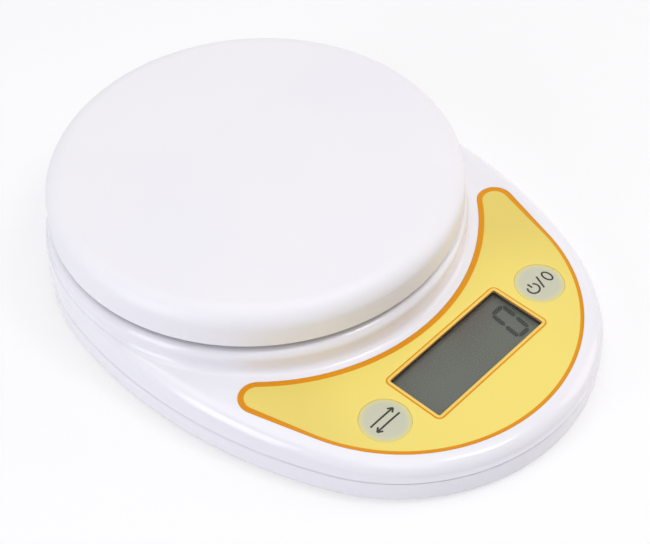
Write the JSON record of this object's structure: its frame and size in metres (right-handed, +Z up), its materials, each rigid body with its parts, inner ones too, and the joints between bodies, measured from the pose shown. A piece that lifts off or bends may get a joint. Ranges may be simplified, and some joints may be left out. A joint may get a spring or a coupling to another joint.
{
  "type": "digital kitchen scale",
  "caption": "Kitchen scale: round weighing platform on a load cell in a low egg-shaped shell, with a crescent control panel, display window and round press keys.",
  "frame": {"origin": "middle of the footprint on the floor under the rubber feet", "axes": "+Z up, -Y towards the user (the control panel's side), +X to the user's right"},
  "size_m": [0.1664, 0.2234, 0.047],
  "materials": {
    "white_abs": "moulded, high gloss",
    "inner_abs": "moulded, plain",
    "panel_film": "printed film, satin",
    "key_rubber": "soft-touch, satin",
    "clear_window": "clear, polished",
    "display_glass": "grey-green liquid crystal cell",
    "strip_rubber": "layered silicone",
    "board": "solder mask, satin",
    "resin": "cast drop of resin",
    "parts_mixed": "small electronic parts",
    "switch_black": "moulded",
    "steel": "zinc plated",
    "spring_steel": "nickel plated",
    "alloy": "milled, fine tool marks",
    "gauge_foil": "polyimide foil",
    "silicone": "cured silicone, satin",
    "foot_rubber": "matt moulded",
    "cell_can": "drawn can in a plain film sleeve",
    "wire_sleeve": "PVC sleeve, glossy"
  },
  "bodies": {
    "scale_body": {"upper_shell": "white_abs", "base_shell": "white_abs", "shell_screws": "steel", "rubber_feet": "foot_rubber", "panel_overlay": "panel_film", "display_window": "clear_window", "display_glass": "display_glass", "display_frame": "inner_abs", "contact_strip": "strip_rubber", "circuit_board": "board", "controller_chip": "resin", "board_parts": "parts_mixed", "board_screws": "steel", "key_switches": "switch_black", "load_cell": "alloy", "strain_gauges": "gauge_foil", "gauge_sealant": "silicone", "load_cell_screws": "steel", "load_cell_wires": "wire_sleeve", "battery_cells": "cell_can", "battery_springs": "spring_steel", "battery_plates": "spring_steel", "battery_wires": "wire_sleeve"},
    "platform": {"weighing_platform": "white_abs", "platform_carrier": "inner_abs", "carrier_screws": "steel"},
    "unit_key": {"unit_button": "key_rubber", "unit_switch_plunger": "switch_black"},
    "power_key": {"power_button": "key_rubber", "power_switch_plunger": "switch_black"},
    "battery_hatch": {"battery_door": "white_abs"}
  },
  "joints": [
    {"name": "platform_press", "type": "slide", "parent": "scale_body", "child": "platform", "axis": [0, 0, -1], "range_m": [0, 0.0005], "stiffness_N_per_m": 60000, "deforming": ["load_cell"]},
    {"name": "unit_key_press", "type": "slide", "parent": "scale_body", "child": "unit_key", "axis": [0, 0.0436, -0.999], "range_m": [0, 0.0005], "stiffness_N_per_m": 3000},
    {"name": "power_key_press", "type": "slide", "parent": "scale_body", "child": "power_key", "axis": [0, 0.0436, -0.999], "range_m": [0, 0.0005], "stiffness_N_per_m": 3000},
    {"name": "battery_door_hinge", "type": "hinge", "parent": "scale_body", "child": "battery_hatch", "pos_m": [0, 0.08295, 0.0026], "axis": [1, 0, 0], "range_deg": [0, 95]}
  ]
}
